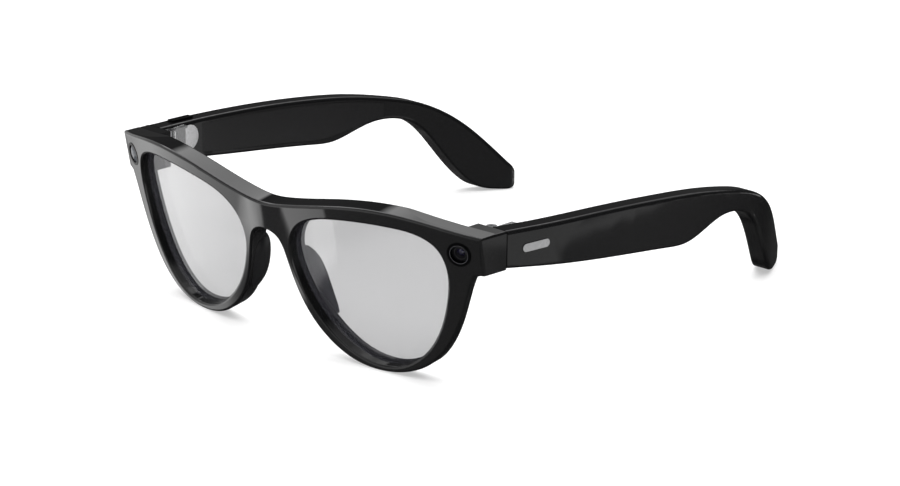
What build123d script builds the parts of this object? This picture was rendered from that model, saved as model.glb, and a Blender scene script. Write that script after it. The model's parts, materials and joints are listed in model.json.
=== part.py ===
from build123d import *
import math
import os

# Smart glasses, all sizes in millimetres.
# +Z is up, the front faces -Y, the arms run to +Y, and X = 0 is the plane of symmetry.
# The wearer's left is +X. The rims and the arm tips stand on Z = 0.

# ---- driving dimensions ----
CENTRE_Y = 67.39         # from the front's datum back to the middle of the whole length
TILT = 10.0              # the top of the front leans forward by this angle
FRONT_Y, FRONT_Z = -3.77, -1.36   # where the front's own origin lies

WRAP_2, WRAP_4 = 4.2, 1.0         # front curve: depth at 50 mm off centre, second and fourth power
FRONT_DEPTH = 5.8        # front to back of the rims and brow
LENS_DEPTH = 2.4         # lens face behind the rim's face
LENS_THICK = 2.0
LENS_GROOVE = 1.0        # how far the lens edge runs into the rim
FIT = 0.1                # assembly gap round seated pieces
RIM_ROUND, BACK_ROUND, ARM_ROUND, TIP_ROUND = 0.7, 0.5, 1.0, 2.7   # rounded edges

ARM_THICK = 6.0
SHELL_WALL = 1.3
COVER_THICK = 1.2
ARM_FRONT_Y = 9.8        # front end of the arm
ARM_GAP = 0.3            # gap between the end piece and the arm
END_TOP, END_BOTTOM = 44.05, 33.5

HINGE_X, HINGE_Y = 62.6, 11.9
HINGE_Z0, HINGE_Z1 = 35.2, 43.4
KNUCKLE_R = 1.5
HINGE_PIN_R = 0.6
PIN_PLAY = 0.05
KNUCKLES = 5

MODULE_X, MODULE_H = 63.6, 39.2   # centre of the camera and of the lamp, in the front's own plane
MODULE_YAW = 19.0
RING_R = 3.35

BUTTON_Y, BUTTON_LENGTH, BUTTON_WIDTH = 20.9, 8.6, 2.2
SWITCH_Y, SWITCH_Z, SWITCH_TRAVEL = 32.0, 37.2, 2.0

TOP_EDGE = [(69.6, 44.0), (62.0, 45.6), (54.0, 47.3), (44.0, 48.4), (34.0, 48.15), (24.0, 46.85),
            (14.0, 44.95), (7.0, 43.7), (0.0, 43.0)]
RIM_OUTER = [(66.6, 32.9), (64.8, 28.2), (62.7, 22.0), (59.8, 15.6), (55.2, 8.9), (48.6, 3.8),
             (41.0, 1.3), (34.0, 0.9), (27.0, 2.1), (20.4, 5.3), (14.9, 10.1), (10.8, 16.2),
             (8.2, 22.8), (6.6, 28.6), (4.5, 33.2), (0.0, 34.8)]
LENS_OPENING = [(58.2, 24.5), (59.3, 30.6), (59.0, 36.0), (56.9, 40.3), (52.2, 43.1), (44.5, 44.2),
                (35.0, 44.1), (26.5, 43.3), (17.7, 41.3), (11.8, 37.4), (9.1, 31.0), (10.2, 24.1),
                (13.9, 16.4), (20.2, 9.2), (27.0, 4.7), (34.5, 2.7), (41.5, 3.2), (48.4, 6.9),
                (54.0, 13.6)]
BROW_LINE = [(58.0, 43.9), (50.0, 46.0), (40.0, 46.4), (30.0, 45.8), (20.0, 44.1), (11.0, 41.7),
             (0.0, 39.6)]

ARM_OUTER = [(69.6, 4.0), (70.15, 9.8), (71.85, 24.0), (72.7, 40.0), (72.95, 56.0), (72.75, 72.0),
             (71.9, 88.0), (70.0, 104.0), (66.9, 120.0), (63.4, 129.0), (59.2, 137.0), (53.8, 146.6)]
ARM_TOP = [(9.8, 44.05), (24.0, 43.3), (40.0, 42.45), (56.0, 41.35), (72.0, 39.8), (88.0, 37.7),
           (104.0, 34.4), (112.0, 32.2), (120.0, 28.8), (128.0, 23.5), (136.0, 15.6), (142.0, 8.7)]
ARM_TIP = [(142.0, 8.7), (145.3, 4.6), (145.9, 2.35), (144.0, 0.52), (139.2, 0.17), (134.6, 0.98),
           (130.6, 3.4)]
ARM_UNDER = [(130.6, 3.4), (127.1, 7.2), (119.7, 17.2), (112.0, 25.0), (104.0, 27.9), (96.0, 28.1),
             (88.0, 26.3), (80.0, 24.75), (72.0, 25.4), (56.0, 27.5), (40.0, 29.5), (24.0, 31.75),
             (9.8, 33.9)]

front_place = Location((0, FRONT_Y, FRONT_Z), (TILT, 0, 0))
whole_place = Location((0, -CENTRE_Y, 0))


# ---- shared shapes ----
def wrap(x):
    """Depth of the front's curved face at x, in the front's own frame."""
    share = x / 50
    return WRAP_2 * share**2 + WRAP_4 * share**4


def moved_left(points, amount, closed=False):
    """The points moved sideways, to the left of the way they run."""
    last = len(points) - 1
    result = []
    for i, (a, b) in enumerate(points):
        before = points[i - 1] if closed or i > 0 else points[0]
        after = points[(i + 1) % (last + 1)] if closed or i < last else points[last]
        run, rise = after[0] - before[0], after[1] - before[1]
        length = math.hypot(run, rise)
        result.append((a - amount * rise / length, b + amount * run / length))
    return result


def both_halves(points):
    """A half outline that ends on X = 0, continued by its mirror image."""
    return points + [(-x, h) for x, h in reversed(points[:-1])]


def in_xz(points):
    return [(x, 0, h) for x, h in points]


def in_yz(points):
    return [(0, y, z) for y, z in points]


def in_xy(points):
    return [(x, y, 0) for x, y in points]


def box_between(low, high):
    """A box from its lowest to its highest corner."""
    size = [b - a for a, b in zip(low, high)]
    middle = [(a + b) / 2 for a, b in zip(low, high)]
    return Pos(*middle) * Box(*size)


def cylinder_up(x, y, z0, z1, radius):
    return Pos(x, y, (z0 + z1) / 2) * Cylinder(radius, z1 - z0)


def mirrored(shape):
    return mirror(shape, about=Plane.YZ)


def band(points, half_width):
    """A flat strip round an open line of points, in the XZ plane."""
    upper = Spline(*in_xz(moved_left(points, half_width)))
    lower = Spline(*in_xz(moved_left(points, -half_width)))
    return Face(Wire([upper, Line(upper @ 1, lower @ 1), lower, Line(lower @ 0, upper @ 0)]))


# ---- the front ----
def front_slab(near, far):
    """The curved layer of the front between two depths behind its face."""
    reach, step, low, height = 72, 12, -6, 62
    stations = range(-reach, reach + 1, step)
    near_curve = Spline(*[(x, wrap(x) + near, low) for x in stations])
    far_curve = Spline(*[(x, wrap(x) + far, low) for x in stations])
    ends = [Line(near_curve @ 0, far_curve @ 0), Line(near_curve @ 1, far_curve @ 1)]
    return extrude(Face(Wire([near_curve, far_curve, *ends])), height, dir=(0, 0, 1))


def through_front(face):
    """A face in the XZ plane, extruded through the whole depth of the front."""
    before, length = 4, 36
    return extrude(Pos(0, -before, 0) * face, length, dir=(0, 1, 0))


def lens_outline(growth):
    return Face(Wire([Spline(*in_xz(moved_left(LENS_OPENING, -growth, closed=True)), periodic=True)]))


def module_place(depth):
    """A place on the camera's axis, at a depth behind the front's face, with +Z pointing out."""
    yaw = math.radians(MODULE_YAW)
    outward = Vector(math.sin(yaw), -math.cos(yaw), 0)
    centre = Vector(MODULE_X, wrap(MODULE_X), MODULE_H) - outward * depth
    plane = Plane(origin=centre, x_dir=(math.cos(yaw), math.sin(yaw), 0), z_dir=outward)
    return plane.location


def on_axis(radius, near, far):
    """A disc on the camera's axis, between two depths behind the face."""
    return module_place((near + far) / 2) * Cylinder(radius, far - near)


def front_outline():
    side = [(69.6, 44.0), (69.1, 33.4), (66.6, 32.9)]
    top = Spline(*in_xz(both_halves(TOP_EDGE)))
    bottom = Spline(*in_xz(both_halves(RIM_OUTER)))
    left = Polyline(*in_xz(side))
    right = Polyline(*in_xz([(-x, h) for x, h in side]))
    return Face(Wire([top, bottom, *left.edges(), *right.edges()]))


def end_piece():
    """The block behind each front corner that carries the hinge."""
    plan = [(60.2, -3.0), (69.45, -3.0), (70.1, ARM_FRONT_Y - ARM_GAP), (60.2, ARM_FRONT_Y - ARM_GAP)]
    face = Face(Wire(Polyline(*in_xy(plan), close=True).edges()))
    block = extrude(Pos(0, 0, END_BOTTOM) * face, END_TOP - END_BOTTOM, dir=(0, 0, 1))
    outer_rims = [edge for edge in block.edges() if edge.length > 12.4 and edge.center().X > 69]
    rounded = block.fillet(0.6, outer_rims)
    return rounded & front_place * (front_slab(0.3, 24) & box_between((58, 0, 20), (72, 40, 60)))


def rim_taper(side):
    """What the outer side of a rim loses as it narrows towards the back, below the end piece."""
    curve = [(67.6, 33.6), (66.6, 31.8), (65.1, 28.2), (62.9, 22.0), (60.1, 15.4), (55.6, 8.3),
             (50.4, 2.8), (45.0, -2.0)]
    far = [(80.0, -2.0), (80.0, 33.6)]
    start, slope, lean = 11.8, 0.34, 0.79

    def on_slant(points):
        return [(side * x, start + slope * (x - 66.6), h) for x, h in points]

    inner = Spline(*on_slant(curve))
    rest = Polyline(*on_slant([curve[-1], *far, curve[0]]))
    return extrude(Face(Wire([inner, *rest.edges()])), 12, dir=(-side * lean, 1, 0))


def corner_top():
    """What is above the level line from the brow down to the corner."""
    profile = [(45.0, 48.05), (69.6, 44.1), (76.0, 43.05), (76.0, 60.0), (45.0, 60.0)]
    face = Face(Wire(Polyline(*in_xz(profile), close=True).edges()))
    return extrude(Pos(0, -20, 0) * face, 50, dir=(0, 1, 0))


def nose_pad(growth=0.0):
    """A pad that wraps the nose side of the rim and flares outwards behind it."""
    section = [(-0.4, 1.5), (-1.5, 3.6), (-0.9, 6.2), (1.5, 9.0), (3.3, 9.1), (2.9, 7.2), (1.3, 5.6),
               (0.5, 3.4)]
    levels = [(29.2, 6.9, 0.42), (27.0, 7.25, 0.78), (22.5, 8.5, 1.0), (17.5, 10.3, 0.95),
              (13.4, 12.8, 0.75), (11.0, 14.8, 0.5)]
    middle_a, middle_d = 0.6, 5.4
    faces = []
    for height, edge_x, scale in levels:
        grown = scale + growth
        points = []
        for a, d in section:
            x = edge_x + middle_a + (a - middle_a) * grown
            y = wrap(edge_x) + middle_d + (d - middle_d) * grown
            points.append((x, y, height))
        faces.append(Face(Wire([Spline(*points, periodic=True)])))
    return loft(faces)


def hinge_pocket():
    return box_between((61.8, 6.3, HINGE_Z0 - FIT), (63.4, 10.0, HINGE_Z1 + FIT))


def leaf_screw_places():
    return [(7.7, 37.2), (7.7, 41.4)]


def leaf_screw(y, z):
    """A countersunk screw along X, driven from the inner side of the end piece."""
    shank = Pos(63.0, y, z) * Rot(0, 90, 0) * Cylinder(0.45, 4.4)
    head = Pos(60.55, y, z) * Rot(0, 90, 0) * Cylinder(0.85, 0.6)
    return shank + head


def edges_at(shape, side):
    """The edges of the largest face on one side of a shape: -1 is its front, 1 its back."""
    broad = sorted(shape.faces(), key=lambda face: face.area)[-2:]
    return max(broad, key=lambda face: side * face.center().Y).edges()


def front_blank():
    """Both rims and the bridge in one curved plate, with rounded edges front and back."""
    plate = through_front(front_outline()) & front_slab(0, FRONT_DEPTH)
    for opening in (through_front(lens_outline(0)), mirrored(through_front(lens_outline(0)))):
        plate -= opening
    plate = plate.solids()[0].fillet(RIM_ROUND, edges_at(plate, -1))
    return plate.fillet(BACK_ROUND, edges_at(plate, 1))


def make_front():
    """The moulded front: two rims, the bridge, the brow channel and the two end pieces."""
    body = front_place * front_blank()
    for side in (1, -1):
        body -= front_place * rim_taper(side)
    body = body - corner_top() - mirrored(corner_top())
    for side in (end_piece(), mirrored(end_piece())):
        body += side
    lens_slot = front_slab(LENS_DEPTH - FIT, LENS_DEPTH + LENS_THICK + FIT)
    groove = through_front(lens_outline(LENS_GROOVE)) & lens_slot
    bore = on_axis(RING_R, -1, 1.5) + on_axis(2.0, 1.4, 4.0)
    bore += module_place(4.4) * Pos(0.7, 0, 0) * Box(3.8, 5.4, 1.2)
    wire_way = through_front(band([(57.6, 43.9), (61.8, 41.0)], 0.5)) & front_slab(3.9, 4.7)
    channel = through_front(band(both_halves(BROW_LINE), 1.0)) & front_slab(3.2, FRONT_DEPTH + 1)
    contact_holes = Pos(-1.3, 3.0, 34.5) * Cylinder(0.85, 2.7) + Pos(1.3, 3.0, 34.5) * Cylinder(0.85, 2.7)
    microphone_bay = box_between((-1.55, 4.15, 36.55), (1.55, 8.0, 38.25))
    microphone_bay += box_between((-0.5, 4.3, 38.2), (0.5, 5.5, 38.8))
    cuts = [front_place * cut for cut in (channel, contact_holes, microphone_bay)]
    for cut in (groove, bore, wire_way, nose_pad(0.01)):
        cuts += [front_place * cut, front_place * mirrored(cut)]
    for cut in (hinge_pocket(), *[leaf_screw(y, z) for y, z in leaf_screw_places()]):
        cuts += [cut, mirrored(cut)]
    for cut in cuts:
        body -= cut
    return body


def make_lens():
    """A lens, curved with the front, whose edge runs in the rim's groove."""
    outline = through_front(lens_outline(LENS_GROOVE - FIT))
    return front_place * (outline & front_slab(LENS_DEPTH, LENS_DEPTH + LENS_THICK))


def make_brow_cover():
    """The strip that closes the wire channel from behind."""
    strip = through_front(band(both_halves(BROW_LINE), 0.95))
    return front_place * (strip & front_slab(4.9, FRONT_DEPTH))


def make_front_flex():
    """The flat cable along the brow, from the camera to the lamp."""
    return front_place * (through_front(band(both_halves(BROW_LINE), 0.75)) & front_slab(3.6, 3.8))


def make_trim_ring(inner):
    return front_place * (on_axis(RING_R - 0.03, -0.15, 1.3) - on_axis(inner, -1, 2))


def make_camera_window():
    return front_place * on_axis(2.55, 0.35, 0.95)


def make_camera_barrel():
    """A stepped barrel with a conical mouth and a small front lens."""
    barrel = on_axis(1.9, 1.5, 3.7) + on_axis(2.4, 1.0, 1.3)
    barrel += on_axis(1.9, 1.2, 1.6)
    mouth = module_place(1.0) * Pos(0, 0, -0.35) * Cone(0.8, 1.5, 0.71)
    return front_place * (barrel - mouth - on_axis(0.82, 1.2, 2.4))


def make_camera_lens():
    return front_place * on_axis(0.8, 1.6, 2.4)


def make_module_board():
    return front_place * (module_place(4.3) * Pos(0.7, 0, 0) * Box(3.6, 5.2, 0.5))


def make_lamp_guide():
    """A low dome of clear plastic over the recording lamp."""
    dome_r, rise = 2.55, 0.75
    ball_r = (dome_r**2 + rise**2) / (2 * rise)
    ball = module_place(-0.45) * Pos(0, 0, -ball_r) * Sphere(ball_r)
    return front_place * ((ball & on_axis(dome_r, -1, 0.35)) + on_axis(dome_r, 0.3, 1.2))


def make_lamp():
    return front_place * (module_place(3.7) * Pos(0.4, 0, 0) * Box(1.6, 1.6, 0.6))


def make_charge_contacts():
    """Two flat-ended contacts under the bridge."""
    contacts = []
    for x in (-1.3, 1.3):
        contacts.append(front_place * Pos(x, 3.0, 35.0) * Cylinder(0.8, 1.6))
    return contacts


def make_nose_microphone():
    """A small microphone can behind the bridge, with its port hole."""
    can = box_between((-1.5, 4.2, 36.6), (1.5, 5.6, 38.2))
    port = Pos(0, 5.4, 37.4) * Rot(90, 0, 0) * Cylinder(0.3, 0.8)
    return front_place * (can - port)


# ---- the hinge ----
def knuckle_levels():
    """Bottom and top of each hinge knuckle, from the lowest up."""
    gap = 0.1
    pitch = (HINGE_Z1 - HINGE_Z0 + gap) / KNUCKLES
    return [(HINGE_Z0 + i * pitch, HINGE_Z0 + (i + 1) * pitch - gap) for i in range(KNUCKLES)]


def hinge_leaf(levels, plate, neck_low, neck_high, hole_r):
    """A plate with a neck and a bored knuckle at each of its levels."""
    leaf = plate
    for z0, z1 in levels:
        leaf += cylinder_up(HINGE_X, HINGE_Y, z0, z1, KNUCKLE_R)
        leaf += box_between((neck_low[0], neck_low[1], z0), (neck_high[0], neck_high[1], z1))
    return leaf - cylinder_up(HINGE_X, HINGE_Y, HINGE_Z0 - 1, HINGE_Z1 + 1, hole_r)


def make_front_leaf():
    plate = box_between((61.9, 6.4, HINGE_Z0), (63.3, 9.9, HINGE_Z1))
    leaf = hinge_leaf(knuckle_levels()[0::2], plate, (61.9, 9.8), (63.3, 11.6), HINGE_PIN_R)
    for y, z in leaf_screw_places():
        leaf -= leaf_screw(y, z)
    return leaf - cylinder_up(HINGE_X, HINGE_Y, HINGE_Z1 - 0.5, HINGE_Z1 + 1, 1.05)


def make_hinge_pin():
    """A slotted pin screw that runs down through all the knuckles."""
    pin = cylinder_up(HINGE_X, HINGE_Y, HINGE_Z0, HINGE_Z1 - 0.5, HINGE_PIN_R)
    pin += cylinder_up(HINGE_X, HINGE_Y, HINGE_Z1 - 0.5, HINGE_Z1, 1.0)
    return pin - box_between((61.4, 11.75, HINGE_Z1 - 0.25), (63.8, 12.05, HINGE_Z1 + 1))


def arm_leaf_root(growth=0.0):
    low = (63.2 - growth, 13.7 - growth, HINGE_Z0 + 0.3 - growth)
    return box_between(low, (66.0, 19.0, HINGE_Z1 - 0.3 + growth))


def make_arm_leaf():
    """The arm's half of the hinge: knuckles, and a strap that lies under the hinge plate."""
    strap = hinge_plate_profile(-0.3) & arm_layer(4.75, 5.7)
    strap += arm_leaf_root() & arm_layer(4.75, 8)
    leaf = hinge_leaf(knuckle_levels()[1::2], strap, (62.4, 12.2), (64.0, 14.4), HINGE_PIN_R + PIN_PLAY)
    for y, z, x in arm_screw_places():
        leaf -= arm_screw(y, z, x, 0.03)
    return leaf - (hinge_plate_profile(FIT) & arm_layer(5.75, 8))


# ---- the arms ----
def arm_layer(near, far):
    """The upright curved layer of the arm between two depths in from its outer side."""
    height = 60
    near_curve = Spline(*in_xy(moved_left(ARM_OUTER, near)))
    far_curve = Spline(*in_xy(moved_left(ARM_OUTER, far)))
    ends = [Line(near_curve @ 0, far_curve @ 0), Line(near_curve @ 1, far_curve @ 1)]
    return extrude(Pos(0, 0, -5) * Face(Wire([near_curve, far_curve, *ends])), height, dir=(0, 0, 1))


def arm_plan():
    """The whole upright layer of the arm, rounded round its rear end."""
    layer = arm_layer(0, ARM_THICK)
    rear = sorted(layer.edges().filter_by(Axis.Z), key=lambda edge: edge.center().Y)[-2:]
    return layer.solids()[0].fillet(TIP_ROUND, rear)


def across_arm(face):
    """A face in the YZ plane, extruded across the arm."""
    return extrude(Pos(40, 0, 0) * face, 50, dir=(1, 0, 0))


def arm_side():
    """The arm seen from the side, with its paddle, its bend and its hooked tip."""
    curves = [Spline(*in_yz(points)) for points in (ARM_TOP, ARM_TIP, ARM_UNDER)]
    front = Line((0, *ARM_UNDER[-1]), (0, *ARM_TOP[0]))
    return across_arm(Face(Wire([*curves, front])))


def height_between(points, y):
    """Height of a line of points at y, on the straight run between its two nearest."""
    ordered = sorted(points)
    for (y0, z0), (y1, z1) in zip(ordered, ordered[1:]):
        if y0 <= y <= y1:
            return z0 + (z1 - z0) * (y - y0) / (y1 - y0)
    return ordered[-1][1]


def arm_window(start, end, margin):
    """The arm's side outline between two stations, moved in by a margin."""
    stations = [start + (end - start) * i / 6 for i in range(7)]
    top = Spline(*in_yz([(y, height_between(ARM_TOP, y) - margin) for y in stations]))
    bottom = Spline(*in_yz([(y, height_between(ARM_UNDER, y) + margin) for y in stations]))
    ends = [Line(top @ 0, bottom @ 0), Line(top @ 1, bottom @ 1)]
    return across_arm(Face(Wire([top, bottom, *ends])))


def hinge_plate_profile(growth):
    """A D shape: straight towards the hinge, half round towards the ear."""
    radius = 3.75 + growth
    middle_y, middle_z, straight = 21.2, 38.7, 3.2 + growth
    top, bottom = middle_z + radius, middle_z - radius
    curve = ThreePointArc((0, middle_y, top), (0, middle_y + radius, middle_z), (0, middle_y, bottom))
    sides = Polyline((0, middle_y, bottom), (0, middle_y - straight, bottom),
                     (0, middle_y - straight, top), (0, middle_y, top))
    return across_arm(Face(Wire([curve, *sides.edges()])))


def make_hinge_plate():
    return hinge_plate_profile(0) & arm_layer(5.8, 6.25)


def badge_profile(growth):
    """A plain slim lozenge with rounded ends."""
    half_length, half_height = 4.5 + growth, 1.1 + growth
    middle_y, middle_z = 19.4, 38.4
    shape = Pos(40, middle_y, middle_z) * (Plane.YZ * SlotOverall(2 * half_length, 2 * half_height))
    return extrude(shape, 50, dir=(1, 0, 0))


def make_badge():
    return badge_profile(0) & arm_layer(-0.2, 0.4)


def arm_screw_places():
    """Height along the arm, level, and the side face of each head."""
    return [(20.0, 36.9, 65.75), (22.6, 39.3, 66.05)]


def arm_screw(y, z, x, growth=0.0):
    """A small screw along X that holds the hinge strap to the arm."""
    shank = Pos(x + 1.2, y, z) * Rot(0, 90, 0) * Cylinder(0.45 + growth, 2.4 + growth)
    head = Pos(x + 0.25, y, z) * Rot(0, 90, 0) * Cylinder(0.85 + growth, 0.5 + growth)
    return shank + head


def arm_cell(y0, y1, z0, z1, near, far):
    """The part of an arm layer inside a box in Y and Z."""
    return arm_layer(near, far) & box_between((40, y0, z0), (80, y1, z1))


def cover_window(growth):
    return arm_window(27.0 - growth, 100.0 + growth, 1.6 - growth)


def grille_strip(growth):
    """A curved strip in the underside of the arm, in front of the ear."""
    outer = arm_window(70.0 - growth, 80.0 + growth, 0.25 - 4 * growth)
    strip = outer - arm_window(69.0, 81.0, 1.1 + growth)
    return strip & arm_cell(60, 90, 15, 30, 2.1 - growth, 3.9 + growth)


def button_bar(growth, z0, rise):
    """The bar in the top of the arm, between a level and a rise above the arm's top."""
    bar = arm_window(BUTTON_Y - BUTTON_LENGTH / 2 - growth, BUTTON_Y + BUTTON_LENGTH / 2 + growth, -rise)
    return bar & arm_cell(10, 35, z0, 60, 1.5 - growth, 1.5 + BUTTON_WIDTH + growth)


def arm_blank():
    """The whole arm with its long edges rounded and a flat front end."""
    arm = (arm_side() & arm_plan()).solids()[0]
    return arm.fillet(ARM_ROUND, [edge for edge in arm.edges() if edge.center().Y > ARM_FRONT_Y + 1])


def arm_shell():
    """The arm with the pockets that both arms share."""
    shell = arm_blank()
    cuts = [cover_window(FIT) & arm_layer(ARM_THICK - COVER_THICK - FIT, 8),
            arm_window(29.0, 97.0, 2.7) & arm_layer(SHELL_WALL, 5),
            hinge_plate_profile(FIT) & arm_layer(4.7, 8),
            arm_leaf_root(0.1) & arm_layer(4.7, 8),
            badge_profile(FIT) & arm_layer(-1, 0.45),
            grille_strip(0.06),
            arm_cell(71.5, 78.5, 20, 29, 2.4, 3.6),
            cylinder_up(68.6, 31.2, 25, 36, 0.4)]
    cuts += [arm_screw(y, z, x, 0.03) for y, z, x in arm_screw_places()]
    for cut in cuts:
        shell -= cut
    return shell


def make_left_shell():
    return arm_shell()


def make_right_shell():
    """The arm shell with the button's slot, the switch bay below it and a wire passage."""
    shell = arm_shell() - button_bar(0.15, 41.4, 3)
    shell -= arm_cell(20.2, 23.6, 40.3, 42, 1.7, 3.5)
    return shell - arm_cell(23.0, 30.0, 39.0, 40.4, 2.0, 3.2)


def make_cover():
    """The long inner cover of an arm."""
    return cover_window(0) & arm_layer(ARM_THICK - COVER_THICK, ARM_THICK)


def make_left_cover():
    """The inner cover with the slot for the power switch."""
    slot_end = SWITCH_Y + SWITCH_TRAVEL + 1.4
    return make_cover() - arm_cell(SWITCH_Y - 1.4, slot_end, SWITCH_Z - 1.0, SWITCH_Z + 1.0, 4, 8)


def make_battery():
    return arm_window(39.0, 66.0, 3.2) & arm_layer(1.65, 4.5)


def make_board(start, end, chips):
    """A slim board that follows the arm, with its chips on the inner side."""
    board = arm_window(start, end, 3.2) & arm_layer(2.2, 3.0)
    for y0, y1, thickness in chips:
        board += arm_window(y0, y1, 5.0) & arm_layer(2.9, 3.0 + thickness)
    return board


def make_processor_shield():
    """A thin can over the processor."""
    can = arm_window(40.0, 56.0, 4.2) & arm_layer(3.03, 4.4)
    return can - (arm_window(40.3, 55.7, 4.5) & arm_layer(2.9, 4.2))


def make_speaker():
    """A flat speaker box with a slot in its lower side."""
    box = arm_window(83.0, 96.0, 3.0) & arm_layer(1.5, 4.6)
    return box - arm_cell(84.5, 94.5, 20, 29.9, 2.4, 3.6)


def make_speaker_grille():
    """The pierced strip over the sound outlet."""
    strip = grille_strip(0)
    for step in range(6):
        strip -= cylinder_up(69.3, 72.0 + 1.2 * step, 20, 30, 0.35)
    return strip


def make_arm_microphone():
    """A microphone can over its port hole in the underside."""
    return arm_cell(29.7, 32.7, 34.0, 35.2, 1.6, 4.3) - cylinder_up(68.6, 31.2, 33, 34.5, 0.4)


def make_arm_flex(near):
    return arm_window(34.5, 82.0, 4.6) & arm_layer(near, near + 0.12)


def make_touch_sensor():
    """The foil behind the arm's outer wall that feels a finger."""
    return arm_window(36.0, 62.0, 3.4) & arm_layer(1.4, 1.52)


def make_antenna():
    """A strip that follows the top of the arm's hollow."""
    strip = arm_window(54.0, 82.5, 2.8) - arm_window(53.0, 84.0, 3.05)
    return strip & arm_cell(53, 84, 33, 45, 2.2, 3.8)


def make_button_switch():
    return arm_cell(20.4, 23.4, 40.4, 41.45, 1.8, 3.4)


def make_capture_button():
    """The bar that slides straight down into the arm."""
    return button_bar(0, 41.95, 0.55)


def make_switch_body():
    return arm_cell(SWITCH_Y - 2.6, SWITCH_Y + 4.6, SWITCH_Z - 1.8, SWITCH_Z + 1.8, 1.6, 4.2)


def make_power_switch():
    """A knob on a small plate that slides behind the cover's slot."""
    plate = arm_cell(SWITCH_Y - 1.9, SWITCH_Y + 1.9, SWITCH_Z - 1.6, SWITCH_Z + 1.6, 4.32, 4.62)
    knob = arm_cell(SWITCH_Y - 1.1, SWITCH_Y + 1.1, SWITCH_Z - 0.8, SWITCH_Z + 0.8, 4.5, 6.5)
    return plate + knob


# ---- the nodes ----
def group(solids):
    return Compound(children=list(solids))


def both_sides(solids):
    """Solids and their mirror images as one group."""
    return group([*solids, *[mirrored(solid) for solid in solids]])


# where each chip starts and ends along its board, and how thick it is
MAIN_CHIPS = [(43.0, 52.0, 0.8), (60.0, 66.0, 1.0), (70.0, 74.0, 0.8)]
POWER_CHIPS = [(70.0, 73.5, 0.9), (75.5, 79.0, 0.7)]

middle = {
    "front_frame": make_front(),
    "brow_cover": make_brow_cover(),
    "front_flex": make_front_flex(),
    "camera_trim_ring": make_trim_ring(2.6),
    "camera_window": make_camera_window(),
    "camera_barrel": make_camera_barrel(),
    "camera_lens": make_camera_lens(),
    "camera_board": make_module_board(),
    "lamp_trim_ring": mirrored(make_trim_ring(2.6)),
    "lamp_light_guide": mirrored(make_lamp_guide()),
    "lamp": mirrored(make_lamp()),
    "lamp_board": mirrored(make_module_board()),
    "nose_microphone": make_nose_microphone(),
    "charge_contacts": group(make_charge_contacts()),
    "front_leaf_screws": both_sides([leaf_screw(y, z) for y, z in leaf_screw_places()]),
    "battery": make_battery(),
    "power_board": make_board(67.5, 81.5, POWER_CHIPS),
    "power_switch_body": make_switch_body(),
    "power_switch": make_power_switch(),
    "main_board": mirrored(make_board(35.5, 81.5, MAIN_CHIPS)),
    "processor_shield": mirrored(make_processor_shield()),
    "touch_sensor": mirrored(make_touch_sensor()),
    "antenna": mirrored(make_antenna()),
    "button_switch": mirrored(make_button_switch()),
    "capture_button": mirrored(make_capture_button()),
    "temple_left_shell": make_left_shell(),
    "temple_right_shell": mirrored(make_right_shell()),
    "temple_left_cover": make_left_cover(),
    "temple_right_cover": mirrored(make_cover()),
    "temple_left_flex": make_arm_flex(1.4),
    "temple_right_flex": mirrored(make_arm_flex(4.5)),
}
paired = {
    "lens": make_lens(),
    "nose_pad": front_place * nose_pad(),
    "front_hinge_leaf": make_front_leaf(),
    "hinge_pin": make_hinge_pin(),
    "temple_hinge_leaf": make_arm_leaf(),
    "temple_leaf_screws": group([arm_screw(y, z, x) for y, z, x in arm_screw_places()]),
    "temple_hinge_plate": make_hinge_plate(),
    "temple_badge": make_badge(),
    "temple_speaker": make_speaker(),
    "temple_speaker_grille": make_speaker_grille(),
    "temple_microphone": make_arm_microphone(),
}
nodes = dict(middle)
for name, shape in paired.items():
    nodes[name + "_left"] = shape
    nodes[name + "_right"] = mirrored(shape)

os.makedirs("parts", exist_ok=True)
for name, shape in nodes.items():
    export_step(whole_place * shape, "parts/" + name + ".step")
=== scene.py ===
import json
import math

import bpy
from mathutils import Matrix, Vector


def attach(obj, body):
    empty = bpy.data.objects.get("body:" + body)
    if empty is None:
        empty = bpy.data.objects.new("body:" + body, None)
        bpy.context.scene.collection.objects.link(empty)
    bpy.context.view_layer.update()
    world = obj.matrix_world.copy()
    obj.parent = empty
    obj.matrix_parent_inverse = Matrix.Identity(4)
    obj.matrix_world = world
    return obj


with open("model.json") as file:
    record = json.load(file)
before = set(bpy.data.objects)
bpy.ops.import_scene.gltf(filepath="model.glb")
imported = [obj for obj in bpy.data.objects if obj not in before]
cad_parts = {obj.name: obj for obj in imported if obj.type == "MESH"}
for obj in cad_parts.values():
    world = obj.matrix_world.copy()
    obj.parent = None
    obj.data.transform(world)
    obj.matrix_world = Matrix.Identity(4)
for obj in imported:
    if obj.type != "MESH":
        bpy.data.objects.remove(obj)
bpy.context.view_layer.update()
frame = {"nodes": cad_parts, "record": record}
nodes = frame["nodes"]


# ---------- materials ----------
GRAIN_SCALE = 900.0          # faint mottling of a moulded surface
SMUDGE_SCALE = 60.0          # broad smudges, seen only in the gloss
TEXTURE_SCALE = 6000.0       # fine moulded texture
SPECKLE_SCALE = 1500.0       # faint mottling of metal
WEAR_SCALE = 400.0           # handling wear, seen only in the gloss of metal
BRUSH_SCALE = (4000, 300, 9000)
GLASS_SCALE = 40.0           # smudges on clear parts
BUMP_DEPTH = 0.00002         # metres


def new_material(name):
    material = bpy.data.materials.new("look_" + name)
    material.use_nodes = True
    tree = material.node_tree
    return material, tree, tree.nodes["Principled BSDF"]


def noise(tree, scale, detail=4.0):
    """A noise in object space, from 0 to 1."""
    place = tree.nodes.new("ShaderNodeTexCoord")
    source = tree.nodes.new("ShaderNodeTexNoise")
    source.inputs["Scale"].default_value = scale
    source.inputs["Detail"].default_value = detail
    tree.links.new(place.outputs["Object"], source.inputs["Vector"])
    return source.outputs["Fac"]


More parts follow.
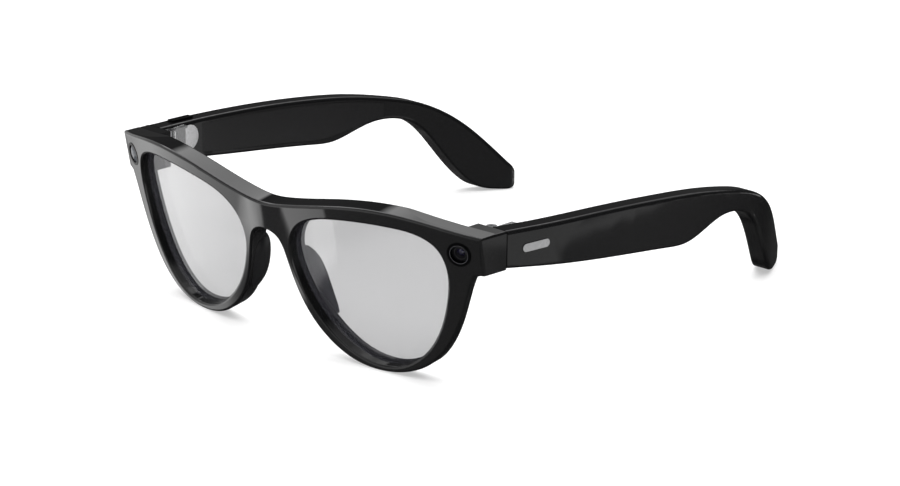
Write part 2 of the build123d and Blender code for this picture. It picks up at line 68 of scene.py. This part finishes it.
def mottled(tree, source, low, high):
    """A noise mapped between two colours."""
    ramp = tree.nodes.new("ShaderNodeValToRGB")
    first, last = ramp.color_ramp.elements
    first.position = 0.3
    last.position = 0.7
    first.color = (*low, 1)
    last.color = (*high, 1)
    tree.links.new(source, ramp.inputs["Fac"])
    return ramp.outputs["Color"]


def roughness_from(tree, shader, source, low, high):
    spread = tree.nodes.new("ShaderNodeMapRange")
    spread.inputs["To Min"].default_value = low
    spread.inputs["To Max"].default_value = high
    tree.links.new(source, spread.inputs["Value"])
    tree.links.new(spread.outputs["Result"], shader.inputs["Roughness"])


def bump_from(tree, shader, source, strength):
    bump = tree.nodes.new("ShaderNodeBump")
    bump.inputs["Strength"].default_value = strength
    bump.inputs["Distance"].default_value = BUMP_DEPTH
    tree.links.new(source, bump.inputs["Height"])
    tree.links.new(bump.outputs["Normal"], shader.inputs["Normal"])


def plastic(name, base, rough, bump=0.0, specular=0.5):
    """A moulded plastic with faint mottling, smudges and, if asked, a fine texture."""
    material, tree, shader = new_material(name)
    low = tuple(channel * 0.9 for channel in base)
    high = tuple(min(1, channel * 1.1) for channel in base)
    colour = mottled(tree, noise(tree, GRAIN_SCALE), low, high)
    tree.links.new(colour, shader.inputs["Base Color"])
    roughness_from(tree, shader, noise(tree, SMUDGE_SCALE, 2.0), *rough)
    if bump:
        bump_from(tree, shader, noise(tree, TEXTURE_SCALE, 3.0), bump)
    shader.inputs["Specular IOR Level"].default_value = specular
    return material


def metal(name, base, rough, brushed=0.0):
    """A metal with faint mottling and wear and, if asked, brushed streaks."""
    material, tree, shader = new_material(name)
    low = tuple(channel * 0.88 for channel in base)
    colour = mottled(tree, noise(tree, SPECKLE_SCALE), low, base)
    tree.links.new(colour, shader.inputs["Base Color"])
    roughness_from(tree, shader, noise(tree, WEAR_SCALE), *rough)
    shader.inputs["Metallic"].default_value = 1.0
    if brushed:
        place = tree.nodes.new("ShaderNodeTexCoord")
        stretch = tree.nodes.new("ShaderNodeMapping")
        stretch.inputs["Scale"].default_value = BRUSH_SCALE
        streaks = tree.nodes.new("ShaderNodeTexNoise")
        streaks.inputs["Scale"].default_value = 1.0
        tree.links.new(place.outputs["Object"], stretch.inputs["Vector"])
        tree.links.new(stretch.outputs["Vector"], streaks.inputs["Vector"])
        bump_from(tree, shader, streaks.outputs["Fac"], brushed)
    return material


def clear_glass(name, tint, alpha, rough, specular=0.5):
    """Thin clear plastic or glass: mostly see-through, with its own reflections."""
    material, tree, shader = new_material(name)
    low = tuple(channel * 0.97 for channel in tint)
    smudge = noise(tree, GLASS_SCALE)
    tree.links.new(mottled(tree, smudge, low, tint), shader.inputs["Base Color"])
    roughness_from(tree, shader, smudge, *rough)
    shader.inputs["Alpha"].default_value = alpha
    shader.inputs["Specular IOR Level"].default_value = specular
    return material


# each is named after the slot that it fills; the pairs are the least and the most roughness
slot_materials = [
    plastic("frame_black", (0.0042, 0.0042, 0.0045), (0.02, 0.04)),
    plastic("cover_black", (0.0048, 0.0048, 0.0052), (0.12, 0.16)),
    plastic("pad_black", (0.009, 0.009, 0.010), (0.45, 0.5), bump=0.03, specular=0.3),
    plastic("trim_black", (0.0012, 0.0012, 0.0014), (0.16, 0.20), specular=0.06),
    plastic("camera_black", (0.002, 0.002, 0.0025), (0.35, 0.45), bump=0.1, specular=0.3),
    plastic("inner_black", (0.02, 0.02, 0.022), (0.4, 0.5), bump=0.1),
    plastic("board_green", (0.02, 0.09, 0.05), (0.3, 0.4)),
    plastic("flex_amber", (0.42, 0.2, 0.04), (0.25, 0.35)),
    plastic("lamp_guide", (0.06, 0.066, 0.075), (0.10, 0.14)),
    plastic("lamp_white", (0.75, 0.74, 0.66), (0.3, 0.4)),
    metal("hinge_silver", (0.72, 0.72, 0.73), (0.20, 0.26), brushed=0.15),
    metal("screw_steel", (0.6, 0.6, 0.62), (0.12, 0.2)),
    metal("badge_silver", (0.72, 0.72, 0.73), (0.1, 0.16)),
    metal("contact_gold", (0.83, 0.62, 0.28), (0.15, 0.22)),
    metal("battery_foil", (0.7, 0.71, 0.73), (0.3, 0.4)),
    clear_glass("lens_clear", (0.06, 0.06, 0.07), 0.40, (0.01, 0.02), 1.0),
    clear_glass("camera_glass", (0.002, 0.002, 0.004), 0.12, (0.01, 0.02)),
]
by_slot = {material.name.removeprefix("look_"): material for material in slot_materials}
by_slot["grille_black"] = by_slot["inner_black"]
slot_of = {part["node"]: part["material_slot"] for part in frame["record"]["subparts"]}
for name, piece in nodes.items():
    piece.data.materials.clear()
    piece.data.materials.append(by_slot[slot_of[name]])


# ---------- small pieces in the camera window, one of them a painted highlight ring ---
ROUND_STEPS = 96
BEAD_THICK = 0.00008         # sizes in metres
# the first ring is a thin pale bead whose grey paints the highlight line on the camera ring's chamfer
RING_HIGHLIGHT_RADIUS = 0.00252
RING_HIGHLIGHT_HEIGHT = 0.00045   # heights are from the window's face, outward
STEP_RING_RADIUS = 0.0017
STEP_RING_HEIGHT = -0.00068
ELEMENT_RADIUS = 0.00105
ELEMENT_RISE = 0.0004
ELEMENT_DEPTH = 0.0011


def outward(name):
    """The way a round node on the front faces, and the middle of its front face."""
    mesh = nodes[name].data
    ahead = Vector((0, -1, 0))
    facing = [face for face in mesh.polygons if face.normal.dot(ahead) > 0.8]
    axis = sum((face.normal * face.area for face in facing), Vector()).normalized()
    corners = [mesh.vertices[i].co for face in facing for i in face.vertices]
    low = Vector([min(corner[i] for corner in corners) for i in range(3)])
    high = Vector([max(corner[i] for corner in corners) for i in range(3)])
    return axis, (low + high) / 2


def turned(name, profile, axis, place, material, body):
    """A round piece from a profile of (radius, height along the axis)."""
    turns = [2 * math.pi * i / ROUND_STEPS for i in range(ROUND_STEPS)]
    corners = [(radius * math.cos(turn), radius * math.sin(turn), height)
               for radius, height in profile for turn in turns]
    faces = []
    for row in range(len(profile) - 1):
        this, above = row * ROUND_STEPS, (row + 1) * ROUND_STEPS
        for i in range(ROUND_STEPS):
            j = (i + 1) % ROUND_STEPS
            faces.append((this + i, this + j, above + j, above + i))
    mesh = bpy.data.meshes.new(name)
    mesh.from_pydata(corners, [], faces)
    mesh.materials.append(material)
    for face in mesh.polygons:
        face.use_smooth = True
    piece = bpy.data.objects.new(name, mesh)
    bpy.context.scene.collection.objects.link(piece)
    piece.rotation_euler = axis.to_track_quat("Z", "Y").to_euler()
    piece.location = place
    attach(piece, body)
    return piece


def bead(radius, height, count=12):
    """The closed profile of a thin round ring."""
    turns = [2 * math.pi * i / count for i in range(count + 1)]
    return [(radius + BEAD_THICK * math.cos(turn), height + BEAD_THICK * math.sin(turn)) for turn in turns]


def dome(radius, rise, count=10):
    """The profile of a low cap, from its rim to its top."""
    ball = (radius ** 2 + rise ** 2) / (2 * rise)
    reach = math.asin(radius / ball)
    turns = [reach * (1 - i / count) for i in range(count + 1)]
    return [(max(ball * math.sin(turn), 1e-6), ball * math.cos(turn) - ball + rise) for turn in turns]


window_axis, window_face = outward("camera_window")
element_place = window_face - window_axis * ELEMENT_DEPTH
# a grey plastic: on the first ring its grey is a painted highlight, and on the step ring it is the step's
# own grey
trim_grey_and_highlight = plastic("trim_grey_and_highlight", (0.05, 0.05, 0.055), (0.25, 0.3))
element_glass = plastic("element_glass", (0.012, 0.010, 0.035), (0.02, 0.03), specular=1.0)
ring_highlight = bead(RING_HIGHLIGHT_RADIUS, RING_HIGHLIGHT_HEIGHT)
step_ring = bead(STEP_RING_RADIUS, STEP_RING_HEIGHT)
element = dome(ELEMENT_RADIUS, ELEMENT_RISE)
# a thin grey bead that paints the highlight line of the camera ring's chamfer
turned("camera_ring_highlight", ring_highlight, window_axis, window_face, trim_grey_and_highlight, "front")
turned("camera_step_ring", step_ring, window_axis, window_face, trim_grey_and_highlight, "front")
turned("camera_front_element", element, window_axis, element_place, element_glass, "front")


# ---------- floor and top light ----------
FLOOR_SIZE = 8
FLOOR_SCALE = 3.0
FLOOR_DARK = (0.52, 0.52, 0.52)
FLOOR_PALE = (0.54, 0.54, 0.54)
FLOOR_GLOW = 0.85            # keeps the floor white while it still takes soft shadows
TOP_LIGHT_PLACE = (0.1, 0.0, 1.5)
TOP_LIGHT_SIZE = 2.8
TOP_LIGHT_POWER = 52


def floor_plane():
    bpy.ops.mesh.primitive_plane_add(size=FLOOR_SIZE, location=(0, 0, 0))
    plane = bpy.context.object
    plane.name = "floor"
    material, tree, shader = new_material("floor")
    colour = mottled(tree, noise(tree, FLOOR_SCALE), FLOOR_DARK, FLOOR_PALE)
    tree.links.new(colour, shader.inputs["Base Color"])
    tree.links.new(colour, shader.inputs["Emission Color"])
    shader.inputs["Emission Strength"].default_value = FLOOR_GLOW
    shader.inputs["Roughness"].default_value = 0.9
    shader.inputs["Specular IOR Level"].default_value = 0.0
    plane.data.materials.append(material)
    plane.visible_glossy = False


def top_light():
    """A broad square light overhead, aimed at the middle of the floor and kept out of the gloss."""
    light = bpy.data.lights.new("top_light", "AREA")
    light.shape = "RECTANGLE"
    light.size = TOP_LIGHT_SIZE
    light.size_y = TOP_LIGHT_SIZE
    light.energy = TOP_LIGHT_POWER
    lamp = bpy.data.objects.new("top_light", light)
    bpy.context.scene.collection.objects.link(lamp)
    lamp.location = TOP_LIGHT_PLACE
    lamp.rotation_euler = (-Vector(TOP_LIGHT_PLACE)).to_track_quat("-Z", "Y").to_euler()
    lamp.visible_glossy = False


floor_plane()
top_light()


# ---------- studio panels ----------
# Each list is (degrees, level). A compass list has 0 straight ahead of the front, towards -Y, and 90
# towards +X. A height list has 0 at the horizon and 90 overhead. Past its ends a list keeps its end level.
TOP_LEVEL = 4                # the brightest level that a list can hold
DEGREES = 180 / math.pi

# low down: cards ahead and to the wearer's right, a slanted card and a narrow strip behind and to the left,
# a glow ahead and to the left, and a faint base all round
AHEAD_COMPASS = [
    (-110, 0), (-105, 0), (-102, 0.7), (-97, 0.9), (-92, 1.3), (-84, 1.85), (-76, 1.8), (-68, 1.5),
    (-63, 1.28), (-58.8, 1.2), (-57.4, 3.4), (-56.8, 3.6), (-55.2, 2.1), (-54.8, 2.0), (-54.5, 0),
    (-50.9, 0), (-50.3, 2.0), (-46, 1.85), (-42.6, 1.6), (-42.1, 0.04), (-35, 0)]
AHEAD_HEIGHT = [(-40, 0), (-30.9, 0), (-30.5, 1), (-12, 1), (-10, 0)]
AHEAD_DROP = [(-60, 0), (-54, 0), (-52, 2.2), (-50, 2.2)]
ASIDE_COMPASS = [(112, 0), (114, 0.38), (134.2, 0.38), (136.2, 0), (150, 0)]
ASIDE_HEIGHT = 18.1          # degrees below the horizon at which the slant is zero
ASIDE_SLANT = -12.0          # degrees round for each degree up
ASIDE_MOST = 4.5             # the most degrees that the slant can reach, low down
STRIP_COMPASS = [(138, 0), (142.2, 0), (142.8, 1), (156, 1)]
STRIP_HEIGHT = [(-20, 0), (-17.2, 0), (-16.9, 1.1), (-8, 1.1), (-5, 0)]
GLOW_COMPASS = [(10, 0), (20, 1.2), (60, 1.2), (70, 0)]
GLOW_HEIGHT = [(-30, 0), (-22, 0), (-18, 1), (-5, 1)]
BASE_COMPASS = [
    (-180, 0.03), (-115, 0.05), (-106, 0.22), (140, 0.2), (150, 0.14), (160, 0.08), (170, 0.05),
    (180, 0.03)]
LOW_SHARE = [(-60, 0.3), (-50, 0.3), (-44, 1), (-6, 1), (2, 0), (10, 0)]

# high up: a panel behind and to the wearer's right, with its lower edge stepped by the tilt, and the ceiling
PANEL_TILT = [(-160, 4), (-140, 4), (-136, 0), (-120, 0)]
PANEL_HEIGHT = [(20, 0), (31.5, 0), (33.5, 0.9), (35.5, 1.9), (50, 1.9)]
PANEL_COMPASS = [
    (-180, 0), (-156, 0), (-150, 0.6), (-143, 0.68), (-136, 0.78), (-131, 1), (-90, 1), (-70, 0), (0, 0)]
CEILING_HEIGHT = [(0, 0.05), (48, 0.05), (58, 1.2), (90, 1.4)]
HIGH_SHARE = [(-20, 0), (-6, 0), (2, 1), (10, 1)]

# added whatever the height: a ledge behind, and a glow ahead and to the wearer's right
LEDGE_COMPASS = [(-145, 1), (-138, 1), (-135, 0), (-125, 0)]
LEDGE_HEIGHT = [(10, 0), (15, 0), (18, 0.4), (30, 0.45)]
EDGE_COMPASS = [(-130, 0), (-118, 0), (-108, 0.8), (0, 0.8), (20, 0)]
EDGE_HEIGHT = [(-14, 0), (-11, 1), (30, 1), (45, 0)]


def studio_world():
    """A dark studio with soft panels, laid out by compass direction and height."""
    world = bpy.data.worlds.new("studio")
    bpy.context.scene.world = world
    world.use_nodes = True
    tree = world.node_tree
    place = tree.nodes.new("ShaderNodeTexCoord")
    split = tree.nodes.new("ShaderNodeSeparateXYZ")
    tree.links.new(place.outputs["Generated"], split.inputs["Vector"])

    def math_node(kind, *values):
        node = tree.nodes.new("ShaderNodeMath")
        node.operation = kind
        for socket, value in zip(node.inputs, values):
            if isinstance(value, (int, float)):
                socket.default_value = value
            else:
                tree.links.new(value, socket)
        return node.outputs["Value"]

    def add(first, second):
        return math_node("ADD", first, second)

    def multiply(first, second):
        return math_node("MULTIPLY", first, second)

    def levels(source, stops):
        """The level that a list gives at a value."""
        low, high = stops[0][0], stops[-1][0]
        ramp = tree.nodes.new("ShaderNodeValToRGB")
        band = ramp.color_ramp
        while len(band.elements) < len(stops):
            band.elements.new(0.5)
        for element, (value, level) in zip(band.elements, stops):
            shade = level / TOP_LEVEL
            element.position = (value - low) / (high - low)
            element.color = (shade, shade, shade, 1)
        share = math_node("DIVIDE", math_node("SUBTRACT", source, low), high - low)
        tree.links.new(share, ramp.inputs["Fac"])
        return multiply(ramp.outputs["Color"], TOP_LEVEL)

    backward = multiply(split.outputs["Y"], -1.0)
    compass = multiply(math_node("ARCTAN2", split.outputs["X"], backward), DEGREES)
    height = multiply(math_node("ARCSINE", split.outputs["Z"]), DEGREES)

    dropped = add(height, levels(compass, AHEAD_DROP))
    ahead = multiply(levels(compass, AHEAD_COMPASS), levels(dropped, AHEAD_HEIGHT))
    slant = math_node("MINIMUM", multiply(add(height, ASIDE_HEIGHT), ASIDE_SLANT), ASIDE_MOST)
    aside = levels(add(compass, slant), ASIDE_COMPASS)
    strip = multiply(levels(compass, STRIP_COMPASS), levels(height, STRIP_HEIGHT))
    glow = multiply(levels(compass, GLOW_COMPASS), levels(height, GLOW_HEIGHT))
    base = levels(compass, BASE_COMPASS)
    low_panels = add(add(ahead, aside), add(add(strip, glow), base))

    tilted = add(height, levels(compass, PANEL_TILT))
    panel = multiply(levels(tilted, PANEL_HEIGHT), levels(compass, PANEL_COMPASS))
    high_panels = add(panel, levels(height, CEILING_HEIGHT))

    ledge = multiply(levels(compass, LEDGE_COMPASS), levels(height, LEDGE_HEIGHT))
    edge = multiply(levels(compass, EDGE_COMPASS), levels(height, EDGE_HEIGHT))

    low_part = multiply(low_panels, levels(height, LOW_SHARE))
    high_part = multiply(high_panels, levels(height, HIGH_SHARE))
    total = add(add(low_part, high_part), add(ledge, edge))
    background = tree.nodes["Background"]
    background.inputs["Strength"].default_value = 1.0
    tree.links.new(total, background.inputs["Color"])


studio_world()


# ---------- camera ----------
VIEW_LENS = 114.87           # millimetres
VIEW_SENSOR = 36             # millimetres
VIEW_SHIFT = (0.006, -0.024)
VIEW_PLACE = (0.539216, -0.571007, 0.271333)
VIEW_TURN = (1.258208, -0.006195, 0.765435)

view = bpy.data.cameras.new("view")
view.lens = VIEW_LENS
view.sensor_width = VIEW_SENSOR
view.shift_x, view.shift_y = VIEW_SHIFT
view.clip_start = 0.01
eye = bpy.data.objects.new("view", view)
bpy.context.scene.collection.objects.link(eye)
eye.location = VIEW_PLACE
eye.rotation_euler = VIEW_TURN
bpy.context.scene.camera = eye
bpy.context.scene.view_settings.view_transform = "Standard"
